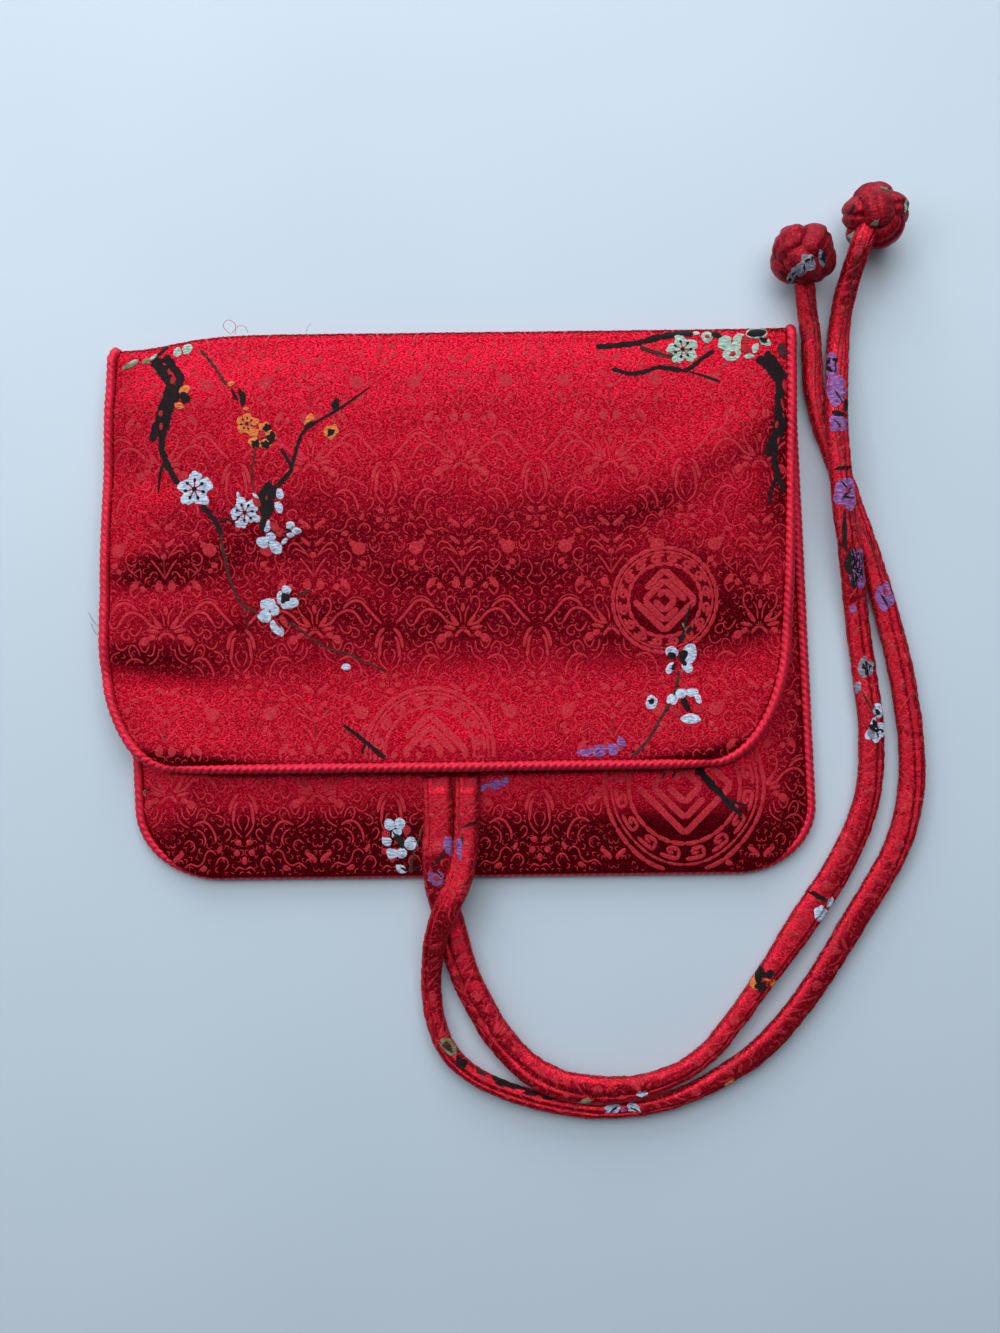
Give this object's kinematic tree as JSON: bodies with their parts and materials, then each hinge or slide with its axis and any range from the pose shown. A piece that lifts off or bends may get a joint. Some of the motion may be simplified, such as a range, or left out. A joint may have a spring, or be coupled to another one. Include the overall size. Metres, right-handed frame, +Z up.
{
  "type": "silk makeup bag",
  "caption": "Small flat envelope-shaped brocade pouch with a fold-over flap, corded seams and long tubular ties that end in ball-shaped button knots.",
  "frame": {"origin": "under the middle of the bag's box without its ties and knots, on the surface it lies on", "axes": "+X along the fold line to the ends of the ties, +Y from the pocket's foot to the fold, +Z up out of the flap"},
  "size_m": [0.244, 0.2754, 0.0194],
  "materials": {
    "brocade": "red satin brocade with a tonal damask figure and woven blossom sprays",
    "lining": "plain red satin",
    "seam_cord": "twisted pinkish red satin cord",
    "tie_brocade": "the same brocade sewn into a soft tube",
    "knot_brocade": "the tie's brocade tube tied into a ball"
  },
  "bodies": {
    "root": {"outer_panel": "brocade", "pocket_panel": "brocade", "panel_lining": "lining", "pocket_lining": "lining", "seam_cord": "seam_cord", "left_tie": "tie_brocade", "right_tie": "tie_brocade", "left_tie_knot": "knot_brocade", "right_tie_knot": "knot_brocade"}
  },
  "joints": []
}
